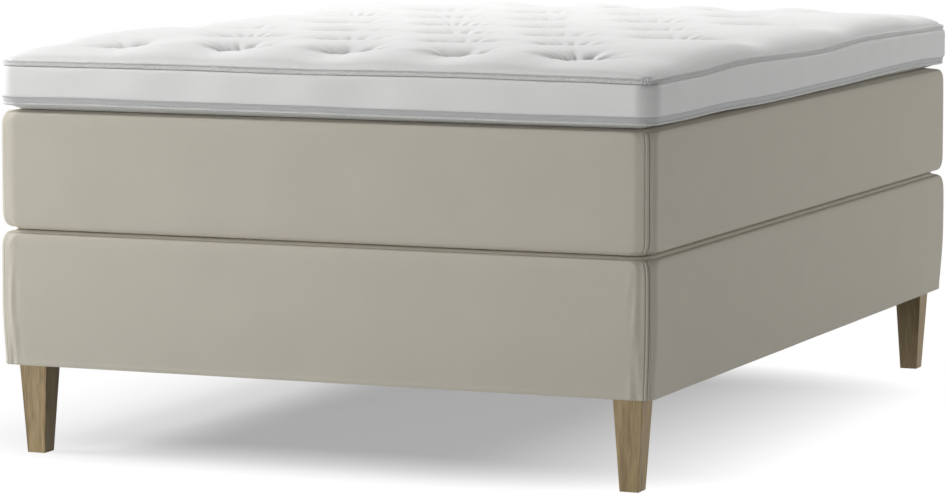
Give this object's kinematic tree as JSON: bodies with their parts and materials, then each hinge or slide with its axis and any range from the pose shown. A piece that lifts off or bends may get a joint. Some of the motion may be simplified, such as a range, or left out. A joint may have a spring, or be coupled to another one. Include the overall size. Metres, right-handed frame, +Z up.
{
  "type": "box spring bed",
  "caption": "Continental bed: fabric box spring base on tapered oak legs, matching spring mattress and a tufted white topper with a zipped cover.",
  "frame": {"origin": "on the floor under the middle of the bed", "axes": "+Z up, +Y along the bed from its foot end to its head end, +X to the right of somebody facing the foot end"},
  "size_m": [1.421, 2.021, 0.8428],
  "materials": {
    "greige_fabric": "smooth close-woven upholstery fabric, greige, matt with a faint sheen",
    "white_knit": "soft white knitted ticking, tufted",
    "zip_tape": "grey woven zip tape with coil teeth",
    "oiled_oak": "oak, oiled, straight vertical grain",
    "pine": "planed softwood",
    "steel": "zinc-plated steel",
    "pocket_cloth": "non-woven pockets over coil springs",
    "felt": "needled felt",
    "foam": "open-cell polyurethane foam",
    "dust_cloth": "non-woven black under-cover"
  },
  "bodies": {
    "base": {"base_centre_beam": "pine", "base_corner_block_foot_left": "pine", "base_corner_block_foot_right": "pine", "base_corner_block_head_left": "pine", "base_corner_block_head_right": "pine", "base_dust_cover": "dust_cloth", "base_felt_pad": "felt", "base_foam_pad": "foam", "base_rail_foot": "pine", "base_rail_head": "pine", "base_rail_left": "pine", "base_rail_right": "pine", "base_side_cover_foot": "greige_fabric", "base_side_cover_head": "greige_fabric", "base_side_cover_left": "greige_fabric", "base_side_cover_right": "greige_fabric", "base_slat_1": "pine", "base_slat_2": "pine", "base_slat_3": "pine", "base_slat_4": "pine", "base_slat_5": "pine", "base_slat_6": "pine", "base_slat_7": "pine", "base_slat_8": "pine", "base_slat_9": "pine", "base_spring_unit": "pocket_cloth", "base_top_cover": "greige_fabric", "leg_bolt_foot_left": "steel", "leg_bolt_foot_right": "steel", "leg_bolt_head_left": "steel", "leg_bolt_head_right": "steel", "leg_foot_left": "oiled_oak", "leg_foot_right": "oiled_oak", "leg_head_left": "oiled_oak", "leg_head_right": "oiled_oak", "leg_nut_foot_left": "steel", "leg_nut_foot_right": "steel", "leg_nut_head_left": "steel", "leg_nut_head_right": "steel"},
    "mattress": {"mattress_bottom_cover": "greige_fabric", "mattress_comfort_foam": "foam", "mattress_edge_foam_foot": "foam", "mattress_edge_foam_head": "foam", "mattress_edge_foam_left": "foam", "mattress_edge_foam_right": "foam", "mattress_side_cover_foot": "greige_fabric", "mattress_side_cover_head": "greige_fabric", "mattress_side_cover_left": "greige_fabric", "mattress_side_cover_right": "greige_fabric", "mattress_spring_unit": "pocket_cloth", "mattress_top_cover": "greige_fabric"},
    "topper": {"topper_border": "white_knit", "topper_bottom_cover": "white_knit", "topper_foam_core": "foam", "topper_tufted_top": "white_knit", "topper_zip_tape_lower": "zip_tape", "topper_zip_tape_upper": "zip_tape"},
    "zip_slider": {"zip_slider": "steel"},
    "zip_pull": {"zip_pull": "steel"}
  },
  "joints": [
    {"name": "mattress_lift", "type": "slide", "parent": "base", "child": "mattress", "axis": [0, 0, 1], "range_m": [0, 0.3]},
    {"name": "topper_lift", "type": "slide", "parent": "mattress", "child": "topper", "axis": [0, 0, 1], "range_m": [0, 0.25]},
    {"name": "zip_slide", "type": "slide", "parent": "topper", "child": "zip_slider", "axis": [1, 0, 0], "range_m": [0, 1.2]},
    {"name": "zip_pull_hinge", "type": "hinge", "parent": "zip_slider", "child": "zip_pull", "pos_m": [-0.6, 1.00801, 0.72144], "axis": [0, 0.3624, 0.932], "range_deg": [0, 180]}
  ]
}
